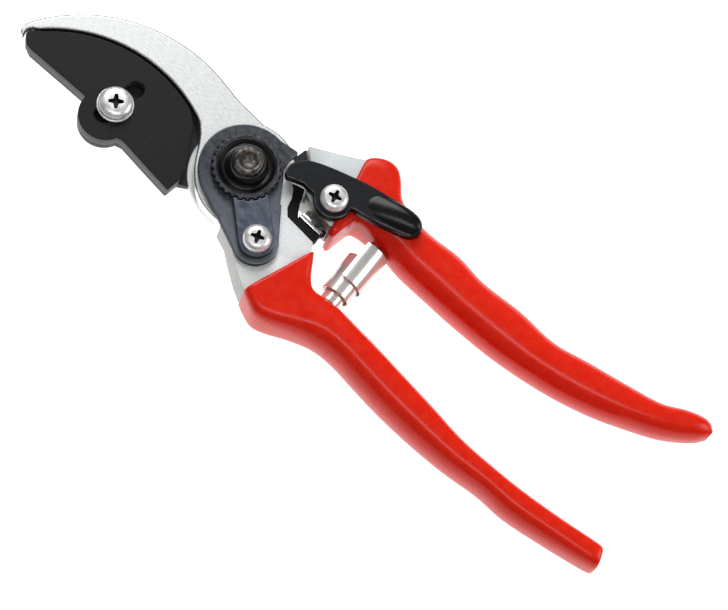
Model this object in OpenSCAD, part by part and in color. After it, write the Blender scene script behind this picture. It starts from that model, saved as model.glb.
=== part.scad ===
// Cut-and-hold bypass pruning shears, closed and locked, millimetres.
// Frame: +X from the pivot to the jaw tips, +Z up out of the nut side, origin on the
// pivot axis in the plane of the bolt head's flat back.
// Two crossing levers turn about Z: the lower lever carries the hook jaw and the pivot
// nut with its lock, the upper lever carries the cutting blade, the hold plate and the
// thumb catch.

/* [Jaws] */
// From the pivot axis to the tip of the cutting edge
reach = 66; // [58:0.5:80]
// Radius of the curved working edge of both jaws
edge_r = 40.4; // [34:0.1:49]
// Radius of the hook's back
back_r = 45.6; // [38:0.1:56]
// Thickness of the hook jaw
hook_t = 4.3; // [3.5:0.1:5.2]
// Thickness of the cutting blade
blade_t = 2.7; // [2:0.1:3.3]
// Thickness of the hold plate
hold_t = 4.1; // [3:0.1:5]
// How far the blade's edge passes behind the hook's edge
blade_lap = 2.6; // [1.5:0.1:3.5]
// Gap between the hold plate's edge and the hook's edge
hold_gap = 0.7; // [0.4:0.05:1.2]

/* [Hold plate] */
// From the pivot axis to the centre of the round tab
tab_x = 38.2; // [34:0.1:44]
// Radius of the round tab
tab_r = 7.2; // [6:0.1:8.6]
// Width of the slot
slot_w = 4.6; // [4:0.1:5.6]
// Travel of the plate on its screw
hold_travel = 7; // [5:0.1:7.4]
// Diameter of the hold screw's head
hold_head_d = 9.2; // [7.6:0.1:11]

/* [Pivot] */
// Diameter of the shank that the upper lever turns on
shank_d = 10; // [8.4:0.1:12]
// Diameter of the threaded end
thread_d = 8; // [6.6:0.1:8.2]
// Diameter of the bolt's head
head_d = 16; // [13.4:0.1:19]
// Thickness of the bolt's head
head_t = 2.6; // [2.1:0.1:3.2]
// Wall of the bronze bush
bush_wall = 1.5; // [1.2:0.1:1.8]
// Radius of the upper lever's boss
boss_r = 13.2; // [12.6:0.1:14.6]
// Thickness of the upper lever's boss
boss_t = 3.6; // [3:0.1:4.4]
// Radius of the toothed nut
nut_r = 9.4; // [7.5:0.1:11.4]
// Thickness of the toothed rim
nut_rim_t = 2.2; // [1.8:0.1:2.7]
// Height of the nut's boss above its rim
nut_boss_h = 3; // [2.4:0.1:3.8]
// Number of teeth
teeth = 28; // [20:1:36]

/* [Nut lock] */
// Radius of the lock plate round the pivot
lock_plate_r = 12.6; // [11:0.1:13.6]
// Thickness of the lock plate
lock_plate_t = 1.8; // [1.2:0.1:2.4]
// Width of the toothed segment
segment_w = 9.5; // [8:0.1:11]
// Diameter of the lock screw's head
lock_head_d = 7.6; // [6.4:0.1:9]
// Diameter of the lock screw's shank
lock_screw_d = 4; // [3.3:0.1:4.8]

/* [Thumb catch] */
// Thickness of the catch plate
catch_t = 2.9; // [2.4:0.1:3.5]
// Diameter of the screw's smooth shoulder that the catch turns on
shoulder_d = 5.2; // [4.3:0.1:6]
// Diameter of the catch screw's head
catch_head_d = 7.6; // [6.6:0.1:9]

/* [Handles] */
// From the spring to the butt of the handles
grip_len = 95; // [80:1:114]
// Depth of the grips along the pivot axis
grip_depth = 15.8; // [15.6:0.1:19]
// Thickness of the plastic coating over the arms
coat_t = 1.9; // [1.6:0.1:2.3]
// How far the lower lever's front face stands above the hook jaw
face_step = 0.6; // [0.4:0.1:1.2]

/* [Spring] */
// Outer radius of the largest turn
spring_r = 5.3; // [4.4:0.05:6]
// Outer radius of the smallest turn
spring_tip_r = 2.9; // [2.7:0.05:3.2]
// Width of the wound strip
strip_w = 12; // [10:0.5:13]
// Thickness of the strip
strip_t = 0.4; // [0.3:0.05:0.45]
// Number of turns
turns = 3.5; // [3:0.25:4]

/* [Fits] */
// Radial clearance of a pin that turns in its bore
run_clear = 0.05; // [0.02:0.01:0.1]
// Play between faces that slide on each other
face_play = 0.1; // [0.06:0.01:0.15]
// Clearance between pieces that pass without touching
pass_clear = 0.3; // [0.25:0.05:0.6]

/* [Hidden] */

$fn = 64;
e = 0.01;                                  // overshoot of a cut past the face it opens
tang_t = 2.4;                              // hook's thickness under the tongue

// Levels, from the bolt head's back face upward
boss_z = head_t + face_play;               // back of the upper lever's boss
blade_z = boss_z + boss_t;                 // back of the cutting blade
blade_top = blade_z + blade_t;             // plane in which the jaws shear
hook_z = blade_top + face_play;
hook_top = hook_z + hook_t;
hold_z = blade_top + face_play;
hold_top = hold_z + hold_t;
tongue_z = hook_z + tang_t;                // back of the lower lever's tongue
lower_face = hook_top + face_step;         // front face of the lower forging
plate_top = lower_face + lock_plate_t;
rim_top = plate_top + nut_rim_t;
forge_back = 2;                            // back faces of both forgings
upper_face = lower_face + 1;               // front face of the upper forging
skin_depth = max(grip_depth, upper_face + 0.8);
grip_z = skin_depth / 2;                   // mid plane of the grips
catch_z = max(skin_depth, plate_top) + pass_clear;
catch_top = catch_z + catch_t;
head_z = catch_top + face_play;            // underside of the catch screw's head

// Points on the hook's working edge, and the circle through them
edge_heel = [18.4, -3.1];
edge_tip = [reach - 0.4, 3.4];
edge_c = circle_centre(edge_heel, edge_tip, edge_r);
back_heel = [19.2, -16.6];
back_tip = [reach + 3.5, 3.0];
back_c = circle_centre(back_heel, back_tip, back_r);

// Hold plate's slot: screw place and direction of travel away from the hook
slide_a = 78.1;
slide_dir = [cos(slide_a), sin(slide_a)];
slot_rest = 4.2;                           // screw to the slot's near end, plate closed
screw_at = [tab_x - 0.4, 7.3];
tab_at = [tab_x, 11];
hold_screw_d = slot_w - 2 * pass_clear;

// Lock screw stands on a line from the pivot at this angle
lock_a = 134.5;
lock_at = 20.4 * [cos(lock_a), sin(lock_a)];
lock_end_r = max(6.2, lock_head_d / 2 + 2.2);
plate_r = max(lock_plate_r, nut_r + 3.2);  // keeps a rim round the nut
ear_corner = plate_r * [-0.67, -1.02];      // of the ear that the catch bears on

// Thumb catch
catch_at = [-23.4, -7.1];
nose_r = nut_r + 0.9;                      // nose stays outside the toothed nut

// Radius inside which the full-depth forgings stay clear of the other lever
blade_root_r = 14.4;
bush_r = shank_d / 2 + run_clear + bush_wall;
blade_screw_d = 3;
blade_screw_head_d = blade_screw_d + 2.4;
blade_screw_r = bush_r + blade_screw_head_d / 2 + 0.6;
boss_rim_r = max(boss_r, blade_screw_r + blade_screw_head_d / 2 + 0.5);
lower_clear_r = max(boss_rim_r, blade_root_r) + 1.2;
upper_clear_r = max(17.2, norm(ear_corner) + 2 * pass_clear);

// Spring axis runs along Y between the two grips
spring_x = -39;
spring_y0 = -5.9;                          // large end, on the upper handle
spring_y1 = 13.3;                          // small end, on the lower handle

// Grip sections, head to butt: inner point, outer point, loss of depth, squareness
lower_ribs = [
    [[-27.6, 5.8], [-19.6, 26.4], 0, 9], [[-29.0, 8.0], [-21.9, 27.9], 0, 8],
    [[-31.2, 11.6], [-25.8, 29.7], 0, 6], [[-33.6, 13.8], [-30.0, 29.2], 0, 4.4],
    [[-37.5, 13.8], [-35.8, 27.1], 0, 3.4], [[-43.0, 13.4], [-42.4, 25.5], 0, 2.6],
    [[-50.0, 14.4], [-49.2, 25.5], 0, 2.5], [[-57.5, 15.5], [-58.2, 27.1], 0, 2.5],
    [[-66.0, 17.0], [-67.5, 28.6], 0, 2.5], [[-77.0, 18.9], [-78.5, 29.7], 0.3, 2.5],
    [[-88.5, 21.1], [-89.5, 30.1], 0.6, 2.5], [[-100.0, 21.9], [-100.5, 29.7], 1, 2.5],
    [[-110.0, 22.0], [-110.0, 30.4], 1.2, 2.5], [[-121.5, 21.6], [-121.8, 29.4], 1.5, 2.6],
    [[-131.5, 21.0], [-132.7, 28.0], 1.8, 3], [[-134.8, 20.9], [-136.9, 27.2], 2.2, 3.2]];
upper_ribs = [
    [[-27.6, -0.1], [-22.8, -24.0], 0, 9], [[-29.2, -0.5], [-25.2, -26.1], 0, 9],
    [[-30.0, -3.7], [-28.2, -27.4], 0, 8], [[-31.0, -7.3], [-31.2, -27.1], 0, 7],
    [[-33.4, -8.1], [-33.8, -25.0], 0, 6], [[-37.0, -7.7], [-37.2, -21.3], 0, 4],
    [[-42.0, -7.0], [-41.8, -20.2], 0, 2.6], [[-49.0, -5.5], [-48.5, -18.9], 0, 2.5],
    [[-58.0, -4.6], [-58.5, -18.9], 0, 2.5], [[-68.0, -3.8], [-68.0, -17.2], 0, 2.5],
    [[-80.0, -3.3], [-80.0, -17.2], 0.2, 2.5], [[-91.0, -3.8], [-92.0, -16.0], 0.5, 2.5],
    [[-101.5, -5.0], [-103.0, -17.7], 0.8, 2.5], [[-112.0, -7.3], [-114.5, -19.3], 1, 2.5],
    [[-121.5, -10.5], [-124.5, -21.0], 1.3, 2.5], [[-129.5, -13.6], [-131.2, -24.1], 1.7, 2.5],
    [[-136.0, -17.6], [-136.6, -25.5], 2.6, 2.4], [[-139.9, -20.9], [-139.9, -24.4], 4.0, 2.2]];

// ---------- geometry helpers ----------

// Centre of the circle of radius r through p and q, on the +Y side of the chord
function circle_centre(p, q, r) =
    let (m = (p + q) / 2, d = q - p, h = norm(d) / 2)
    m + sqrt(r * r - h * h) * [-d[1], d[0]] / norm(d);

// Points of an arc about c, from angle a0 to a1
function arc(c, r, a0, a1, n = 24) =
    [for (i = [0:n]) let (a = a0 + (a1 - a0) * i / n) c + r * [cos(a), sin(a)]];

function angle_of(v) = atan2(v[1], v[0]);

// Smooth curve (Catmull-Rom) through control values, n steps to a span
function blend_at(a, b, c, d, t) =
    0.5 * (2 * b + (c - a) * t + (2 * a - 5 * b + 4 * c - d) * t * t
           + (3 * b - a - 3 * c + d) * t * t * t);
function smooth(p, n = 3) =
    let (last = len(p) - 1)
    [for (i = [0:last - 1]) for (k = [0:n - 1])
        blend_at(p[max(i - 1, 0)], p[i], p[i + 1], p[min(i + 2, last)], k / n), p[last]];

// Behind the spring the handles stretch with grip_len
spring_end_x = -45;
function stretch(p) =
    [p[0] > spring_end_x ? p[0] : spring_end_x + (p[0] - spring_end_x) * grip_len / 95, p[1]];
function placed(ribs) = [for (r = ribs) [stretch(r[0]), stretch(r[1]), r[2], r[3]]];

// One ring of a grip: a superellipse that stands on the line from inner to outer point
function ring(r, sides) =
    let (mid = (r[0] + r[1]) / 2, across = (r[1] - r[0]) / 2, deep = skin_depth / 2 - r[2])
    [for (i = [0:sides - 1])
        let (a = 360 * i / sides, c = cos(a), s = sin(a),
             u = sign(c) * pow(abs(c), 2 / r[3]), v = sign(s) * pow(abs(s), 2 / r[3]),
             p = mid + u * across)
        [p[0], p[1], grip_z + v * deep]];

// Loft a closed skin over rings of equal length
module loft(rings) {
    n = len(rings[0]);
    m = len(rings);
    polyhedron(
        points = [for (r = rings) each r],
        faces = concat(
            [[for (i = [0:n - 1]) i]],
            [for (k = [0:m - 2]) for (i = [0:n - 1])
                let (a = k * n + i, b = k * n + (i + 1) % n)
                each [[a, a + n, b + n], [a, b + n, b]]],
            [[for (i = [n - 1:-1:0]) (m - 1) * n + i]]),
        convexity = 6);
}

module grip_skin(ribs, flip = false) {
    rings = [for (r = smooth(placed(ribs), 2)) ring(r, 20)];
    loft(flip ? [for (r = rings) [for (i = [len(r) - 1:-1:0]) r[i]]] : rings);
}

// Arm of a forging inside its grip, one coating thickness in from the skin
function arm_outline(ribs, first, last) =
    let (p = placed(ribs), inset = coat_t + 0.2)
    concat(
        [for (i = [first:last]) let (d = p[i][1] - p[i][0]) p[i][0] + inset * d / norm(d)],
        [for (i = [last:-1:first]) let (d = p[i][1] - p[i][0]) p[i][1] - inset * d / norm(d)]);

module slab(z0, z1) translate([0, 0, z0]) linear_extrude(z1 - z0, convexity = 6) children();

module at(p, z = 0) translate([p[0], p[1], z]) children();

// Cross recess in a screw head whose top is at z = 0
module cross_recess(span, depth) {
    for (a = [0, 90]) rotate(a) translate([-span / 2, -0.55, -depth]) cube([span, 1.1, depth + e]);
}

// Domed pan head standing on z = 0
module pan_head(d, h) {
    difference() {
        rotate_extrude() polygon(concat(
            [[0, 0], [d / 2, 0], [d / 2, h * 0.45]],
            [for (a = [20:20:80]) [d / 2 - (d * 0.16) * (1 - cos(a)), h * (0.45 + 0.55 * sin(a))]],
            [[d * 0.3, h], [0, h]]));
        translate([0, 0, h]) cross_recess(d * 0.52, h * 0.6);
    }
}

// ---------- lower lever ----------

module lower_head_outline() {
    polygon([
        [lap_x, -12], [-7.4, -9.4], [-8, -6.6], [-9.8, -4.9], [-11.5, -5.4], [-13, -4.2],
        [-14.2, -2], [-14.8, 0.8], [-16.4, 2.9], [-25.9, 4.3], [-28.9, 9.6], [-33.8, 16.6],
        [-31.6, 27], [-26.2, 28.1], [-19.4, 26.0], [-16.5, 24.2], [-12.6, 21.2],
        [-7.9, 17.2], [-4.0, 15.4], [lap_x, 10]]);
}
lap_x = -6;      // butt joint of hook and forging, hidden under the lock plate

module lower_forging() {
    difference() {
        union() {
            slab(forge_back, lower_face) lower_head_outline();
            slab(tongue_z, lower_face) circle(tongue_r);
            slab(grip_z - 4.2, grip_z + 4.2) polygon(arm_outline(lower_ribs, 2, 13));
        }
        // half-lap: room for the upper lever's boss and the blade's root
        slab(forge_back - 1, hook_z) circle(lower_clear_r);
        // seat of the hook's tang
        slab(hook_z - e, tongue_z) circle(tongue_r + pass_clear);
        slab(-1, lower_face + 1) circle(thread_d / 2 + run_clear);
        rivet_holes();
        at(lock_at, forge_back + 1) cylinder(d = lock_screw_d, h = lower_face);
    }
}
tongue_r = 11;

module lower_handle() color("#cfcfca") {
    difference() {
        lower_forging();
        seat_hole(spring_y1, -1);
    }
}

module lower_grip() color("#d8210f") {
    difference() {
        grip_skin(lower_ribs);
        lower_forging();
        seat_hole(spring_y1, -1);
    }
}

// Hook jaw: crescent, round heel about the pivot and a thin tang under the tongue
function hook_outline() = concat(
    arc(edge_c, edge_r + hold_gap, angle_of(edge_heel - edge_c), angle_of(edge_tip - edge_c), 30),
    [[reach + 0.6, 3.4], [reach + 2.2, 4.3], [reach + 3.0, 5.9], [reach + 2.8, 7.4],
     [reach + 3.7, 7.4], [reach + 4.3, 6.3], [reach + 4.2, 4.6]],
    arc(back_c, back_r, angle_of(back_tip - back_c), angle_of(back_heel - back_c), 30),
    [[16.2, -15.8], [12.6, -14.9], [8.4, -14.5]],
    arc([0, 0], 14.4, -74, -114, 8), [[lap_x, -13], [lap_x, 10], [-4.0, 15.4], [0.6, 15.1]],
    [[4.2, 14.0], [7.0, 12.2], [9.8, 9.3], [11.8, 6.4], [13.3, 3.3], [14.6, 0.5], [16.4, -2.0]]);

module hook_jaw() color("#d3d4d2") {
    difference() {
        union() {
            slab(hook_z, hook_top) polygon(hook_outline());
            slab(hook_z, tongue_z) circle(tongue_r);
        }
        // pocket for the lower lever's tongue
        slab(tongue_z, hook_top + 1) circle(tongue_r + 0.1);
        slab(-1, hook_top + 1) circle(thread_d / 2 + run_clear);
        rivet_holes();
    }
}

rivet_d = 3;
module rivet_places() for (a = [75, 285]) at(8.2 * [cos(a), sin(a)]) children();
module rivet_holes() rivet_places() translate([0, 0, hook_z - 1]) cylinder(d = rivet_d, h = 10);

module jaw_rivets() color("#9a9b9c") {
    rivet_places() translate([0, 0, hook_z]) cylinder(d = rivet_d, h = lower_face - hook_z);
}

// Shouldered bolt: flat head, smooth shank in the bush, thread through hook and nut
module pivot_bolt() color("#3b3a38") {
    bolt_end = rim_top + nut_boss_h + 1.3;
    difference() {
        union() {
            rotate_extrude() polygon([[0, 0], [head_d / 2 - 0.8, 0], [head_d / 2, 0.8],
                                      [head_d / 2, head_t], [0, head_t]]);
            cylinder(d = shank_d, h = hook_z);
            cylinder(d = thread_d, h = bolt_end - 0.6);
            translate([0, 0, bolt_end - 0.6])
                cylinder(d1 = thread_d, d2 = thread_d - 1.2, h = 0.6);
        }
        translate([0, 0, bolt_end - 1]) cylinder(d = 3.4, h = 2);
        // two holes for a pin spanner
        for (s = [-1, 1]) at([s * head_d * 0.32, 0], -e) cylinder(d = 1.8, h = 1.6);
    }
}

dish_t = 1.3;       // depth of the nut's dished ring
// Where the teeth of the nut are cut
module tooth_gaps(r) for (i = [0:teeth - 1]) rotate(360 * (i + 0.5) / teeth) translate([r, 0]) circle(0.62);

module pivot_nut() color("#2c2b2a") {
    difference() {
        union() {
            slab(plate_top, rim_top) difference() {
                circle(nut_r);
                tooth_gaps(nut_r + 0.1);
            }
            translate([0, 0, rim_top]) rotate_extrude()
                polygon([[0, -e], [thread_d / 2 + 1.5, -e], [thread_d / 2 + 0.9, nut_boss_h - 1.2],
                         [thread_d / 2 + 0.4, nut_boss_h], [0, nut_boss_h]]);
        }
        // dished ring between the boss and the teeth
        translate([0, 0, rim_top]) rotate_extrude()
            polygon([[thread_d / 2 + 1.5, e], [thread_d / 2 + 2.1, -dish_t], [nut_r - 2.6, -dish_t],
                     [nut_r - 1.6, e]]);
        slab(plate_top - 1, rim_top + nut_boss_h + 1) circle(d = thread_d);
    }
}

module lock_plate() color("#33353a") {
    side = lock_a - acos((plate_r - lock_end_r) / norm(lock_at));
    out = [cos(side), sin(side)];
    slab(lower_face, plate_top) difference() {
        union() {
            circle(plate_r);
            at(lock_at) circle(lock_end_r);
            polygon([plate_r * out, lock_at + lock_end_r * out,
                     lock_at - lock_end_r * [cos(25), sin(25)], [-9.6, -3.9], [-7.7, -6.7],
                     [0, 0]]);
            // ear that the catch's nose bears on
            polygon([plate_r * [-0.6, -0.76], ear_corner, plate_r * [-0.16, -0.98],
                     [0, -6], [-7.7, -6.7]]);
        }
        // waist beside the catch
        polygon(plate_r * [[-0.6, -0.76], [-0.61, -0.53], [-0.76, -0.31], [-1.03, 0.16],
                           [-1.75, -0.32], [-1.11, -1.27], [-0.675, -1.01]]);
        circle(thread_d / 2 + run_clear);
        at(lock_at) circle(d = lock_screw_d);
    }
}

module lock_segment() color("#44474d") {
    slab(plate_top, rim_top) difference() {
        union() {
            difference() {
                rotate(lock_a) union() {
                    translate([norm(lock_at), 0]) circle(segment_w / 2);
                    translate([nut_r - 1, -segment_w / 2])
                        square([norm(lock_at) - nut_r + 1, segment_w]);
                }
                circle(nut_r + 0.25);
            }
            // teeth that stand in the nut's gaps
            intersection() {
                for (k = [-2:2]) rotate(lock_a + 360 * k / teeth + tooth_shift)
                    translate([nut_r + 0.3, 0]) circle(0.5);
                circle(nut_r + 0.5);
            }
        }
        at(lock_at) circle(d = lock_screw_d);
    }
}
// turns the segment's teeth onto the nearest gap of the nut
tooth_shift = (floor(lock_a * teeth / 360) + 0.5) * 360 / teeth - lock_a;

module lock_screw() color("#e4e4e2") {
    at(lock_at, rim_top) pan_head(lock_head_d, 2.5);
    at(lock_at, forge_back + 3) cylinder(d = lock_screw_d, h = rim_top - forge_back - 3);
}

module rubber_buffer() color("#191919") {
    slab(hook_z + pass_clear, hook_top - 0.2) difference() {
        polygon([
            [-25.8, 4.6], [-26.3, 1.8], [-21.0, 1.1], [-18.5, 0.8], [-17.2, -1.4], [-16.4, -3.2],
            [-16.0, -4.8], [-15.2, -6.5], [-13.4, -6.2], [-11.7, -5.8], [-12.6, -2], [-14, 2.9],
            [-16.4, 3.6]]);
        lower_head_outline();
    }
}

// ---------- spring and its seats ----------

// Hole for a stud along the spring axis
seat_root = 5;      // how far a stud goes into its handle
module seat_hole(y, side) {
    translate([spring_x, y - side * seat_root, grip_z]) rotate([-side * 90, 0, 0])
        cylinder(r = stud_r, h = 2 * seat_root);
}
stud_r = 1.6;

module lower_spring_seat() color("#bdbdba") {
    translate([spring_x, spring_y1 + seat_root, grip_z]) rotate([90, 0, 0])
        cylinder(r = stud_r, h = seat_root + 4);
}

module upper_spring_seat() color("#bdbdba") {
    translate([spring_x, spring_y0 - seat_root, grip_z]) rotate([-90, 0, 0])
        cylinder(r = stud_r, h = seat_root + 3.5);
}

// Strip wound on a taper: each turn lies inside the last and is pushed further along Y
module volute_spring() color("#dcdcd8") {
    steps = 20;
    n = round(turns * steps);
    rings = [for (i = [0:n])
        let (t = i / n, a = 360 * turns * t,
             r = spring_r + (spring_tip_r - spring_r) * t,
             y = spring_y0 + (spring_y1 - spring_y0 - strip_w) * t,
             c = cos(a), s = sin(a), q = r - strip_t)
        [[spring_x + r * c, y, grip_z + r * s], [spring_x + r * c, y + strip_w, grip_z + r * s],
         [spring_x + q * c, y + strip_w, grip_z + q * s], [spring_x + q * c, y, grip_z + q * s]]];
    loft(rings);
}

// ---------- upper lever ----------

module upper_head_outline() {
    polygon([
        [-16.4, -5.2], [-20.8, -2.9], [-26.8, -2.0], [-28.4, -4], [-29.2, -8], [-33.6, -10],
        [-33, -21.5], [-31, -23.6], [-27, -24.6], [-23.6, -23.2], [-16.9, -19.8],
        [-9.1, -16.2], [-11.7, -13.4], [-14.5, -8.5]]);
}

module upper_forging() {
    difference() {
        union() {
            slab(forge_back, upper_face) difference() {
                upper_head_outline();
                circle(upper_clear_r);
            }
            slab(boss_z, blade_z) circle(boss_rim_r);
            // web from the boss to the arm, kept below the other lever
            slab(boss_z, hook_z - pass_clear)
                polygon([[-10, -2], [-18, -5], [-16, -15], [-9.6, -16.6], [-5, -9]]);
            slab(grip_z - 4.2, grip_z + 4.2) polygon(arm_outline(upper_ribs, 3, 15));
        }
        slab(-1, blade_top) circle(bush_r);
        // corner cut back behind the blade's lug
        slab(forge_back - 1, blade_top)
            polygon([[-5, -12.5], [-10.9, -15.4], [-11.2, -19], [-5, -19]]);
        // seat of the blade's root and lug
        slab(blade_z, blade_top) blade_outline();
        blade_screw_places() blade_screw_shape();
        at(catch_at, upper_face - 9) cylinder(d = shoulder_d - 1.2, h = 12);
    }
}
module upper_handle() color("#cfcfca") {
    difference() {
        upper_forging();
        seat_hole(spring_y0, 1);
    }
}

module upper_grip() color("#d8210f") {
    difference() {
        grip_skin(upper_ribs, true);
        // the coating ends along a curved line on the forging
        slab(-1, skin_depth + 1)
            polygon([[-19, -27], [-22.4, -25.4], [-23.5, -23.4], [-24.8, -20.7],
                     [-25.6, -17.3], [-29.6, -9.6], [-28.6, -4],
                     [-27.9, -0.4], [-25, 3], [-10, 0], [-10, -27]]);
        upper_forging();
        seat_hole(spring_y0, 1);
    }
}

// Blade: convex edge behind the hook, straight back, round root about the pivot
module blade_outline() {
    r = edge_r + blade_lap + hold_gap;
    a0 = angle_of([14.5, -1.6] - edge_c);
    a1 = angle_of([reach + 1.2, 2.4] - edge_c);
    polygon(concat(
        arc(edge_c, r, a0, a1, 30),
        [[reach + 1.3, 5.4], [reach + 1.2, 6.8], [reach + 0.2, 8.2], [reach - 1.1, 8.8],
         [tab_x + tab_r + 0.6, 9.9]],
        arc(tab_at, tab_r - 0.2, -4, 154, 20),
        [[tab_x - 8.2, 13.6], [19.4, 15.6], [13.0, 16.7], [12.3, 12.8], [9.0, 11.0], [0, 0],
         [6, -9]]));
    circle(blade_root_r);
    // heel lug that shows between the lock plate's ear and the upper forging
    polygon([[-6.8, -11], [-8.4, -17.6], [-10.6, -15.4], [-11, -7]]);
}

module cutting_blade() color("#26272a") {
    difference() {
        slab(blade_z, blade_top) blade_outline();
        slab(-1, blade_top + 1) circle(bush_r);
        blade_screw_places() blade_screw_shape();
        at(screw_at, blade_z - 1) cylinder(d = hold_screw_d, h = blade_t + 2);
    }
}

module blade_screw_places()
    for (a = [20, 140, 260]) at(blade_screw_r * [cos(a), sin(a)], boss_z) children();
// Countersunk screw from the back, head flush with the boss
module blade_screw_shape() {
    cylinder(d1 = blade_screw_head_d, d2 = blade_screw_d, h = 1.2);
    cylinder(d = blade_screw_d, h = boss_t + blade_t - 0.6);
}
module blade_screws() color("#8f9092") {
    blade_screw_places() difference() {
        blade_screw_shape();
        translate([-2, -0.35, -e]) cube([4, 0.7, 0.8]);
    }
}

module pivot_bush() color("#b08a4a") {
    slab(boss_z, blade_top) difference() {
        circle(bush_r);
        circle(shank_d / 2 + run_clear);
    }
}

// Steel bar that meets the rubber buffer as the levers close, on a foot by the forging's wall
module stop_pad() color("#c9c9c6") {
    slab(forge_back + 3, hook_top - 0.4)
        polygon([[-18.6, 0.3], [-25.9, 1.15], [-25.7, -0.8], [-19.1, -1.3]]);
    slab(forge_back + 3, blade_top)
        polygon([[-19.1, -3.77], [-20.8, -2.9], [-26.6, -2.03], [-25.7, -0.6], [-19.1, -1.1]]);
}

// Plate in front of the blade: slides on its screw to close on the cut stem
module hold_outline() {
    polygon(concat(
        arc(edge_c, edge_r, angle_of([21.7, -4.7] - edge_c), angle_of(edge_tip - edge_c), 30),
        [[reach + 1.2, 4.3], [reach + 2.2, 5.5], [reach + 2.3, 6.6], [reach + 0.6, 8.7],
         [reach - 0.9, 9.2], [tab_x + tab_r + 0.6, 10.3]],
        arc(tab_at, tab_r, -4, 154, 20),
        [[tab_x - 8.2, 13.9], [19.4, 15.9],
         [12.6, 17.1], [11.9, 12.8], [12.9, 9.4], [13.7, 6.9], [15.2, 4.4], [17.0, 1.0],
         [18.0, -1.0], [19.6, -3.0]]));
}

// Slot from its end by the tab to its end by the hook
module slot_outline() {
    polygon(concat(
        arc(screw_at + slot_rest * slide_dir, slot_w / 2, slide_a - 90, slide_a + 90, 12),
        arc(screw_at - (hold_travel + 0.3) * slide_dir, slot_w / 2, slide_a + 90, slide_a + 270, 12)));
}

module hold_plate() color("#232427") {
    slab(hold_z, hold_top) difference() {
        hold_outline();
        slot_outline();
    }
}

hold_washer_t = 0.7;
module hold_washer() color("#d8d8d5") {
    at(screw_at, hold_top + face_play) difference() {
        cylinder(d = hold_head_d + 0.8, h = hold_washer_t);
        translate([0, 0, -1]) cylinder(d = hold_screw_d, h = 3);
    }
}

module hold_screw() color("#e8e8e6") {
    at(screw_at, hold_top + face_play + hold_washer_t) pan_head(hold_head_d, 2.3);
    at(screw_at, blade_z - hold_nut_t - 0.8)
        cylinder(d = hold_screw_d, h = hold_top + face_play + hold_washer_t
                                       - blade_z + hold_nut_t + 0.8);
}

hold_nut_t = 2.4;
module hold_nut() color("#8f9092") {
    at(screw_at, blade_z - hold_nut_t) difference() {
        cylinder(d = hold_screw_d * 2, h = hold_nut_t, $fn = 6);
        translate([0, 0, -1]) cylinder(d = hold_screw_d, h = hold_nut_t + 2);
    }
}

// ---------- thumb catch ----------

// Nose by the nut, round eye on its screw, curved tail over the grip
module catch_outline() {
    nose = nose_r * [cos(211), sin(211)];
    polygon(concat(
        smooth([nose + [-1.2, 1.1], nose, nose + [-0.1, -3.2], [-12, -11.7], [-17.1, -13.7],
                [-22.7, -15.2], [-28.4, -16.5], [-34.4, -17.3], [-40.5, -18], [-44.9, -17.4],
                [-46.6, -14.9], [-45, -12.1], [-39.7, -10.4], [-34, -9.1], [-30, -8.6]], 3),
        [[-23.4, -7.1], [-19.6, -3.8], [-18.2, -5.2], [-14.5, -5.6]]));
    at(catch_at) circle(5.2);
}

module thumb_catch() color("#151516") {
    difference() {
        union() {
            slab(catch_z, catch_top) catch_outline();
            // raised thumb rest along the tail
            hull() {
                at([-33, -13.4], catch_top - 0.5) sphere(1.6, $fn = 24);
                at([-42.6, -14.9], catch_top - 0.2) sphere(2.2, $fn = 24);
                at([-38, -13.4], catch_top - 0.6) sphere(1.8, $fn = 24);
            }
        }
        at(catch_at, catch_z - 1) cylinder(r = shoulder_d / 2 + run_clear, h = catch_t + 2);
        at(catch_at, catch_top - 0.01) cylinder(d = catch_head_d + 1, h = 5);
    }
}

module catch_screw() color("#e4e4e2") {
    at(catch_at, upper_face) cylinder(d = shoulder_d, h = head_z - upper_face);
    at(catch_at, head_z) pan_head(catch_head_d, 2.2);
    at(catch_at, upper_face - 8) cylinder(d = shoulder_d - 1.2, h = 9);
}

// Two thin rings stand the catch off the forging: a flat one and the detent spring ring
module catch_washer() color("#a8a8a6") {
    at(catch_at, upper_face) difference() {
        cylinder(d = shoulder_d + 3.4, h = (catch_z - upper_face) / 2 - face_play / 2);
        translate([0, 0, -1]) cylinder(d = shoulder_d, h = 4);
    }
}

module catch_spring() color("#bfbfbd") {
    at(catch_at, (catch_z + upper_face) / 2) difference() {
        cylinder(d = shoulder_d + 2.6, h = (catch_z - upper_face) / 2 - face_play);
        translate([0, 0, -1]) cylinder(d = shoulder_d, h = 4);
    }
}

lower_handle();
lower_grip();
hook_jaw();
jaw_rivets();
pivot_bolt();
pivot_nut();
lock_plate();
lock_segment();
lock_screw();
rubber_buffer();
lower_spring_seat();
volute_spring();
upper_handle();
upper_grip();
cutting_blade();
blade_screws();
pivot_bush();
stop_pad();
hold_plate();
hold_screw();
hold_washer();
hold_nut();
upper_spring_seat();
thumb_catch();
catch_screw();
catch_washer();
catch_spring();
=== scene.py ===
import math

import bpy
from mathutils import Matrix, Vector
from mathutils.geometry import tessellate_polygon


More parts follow.
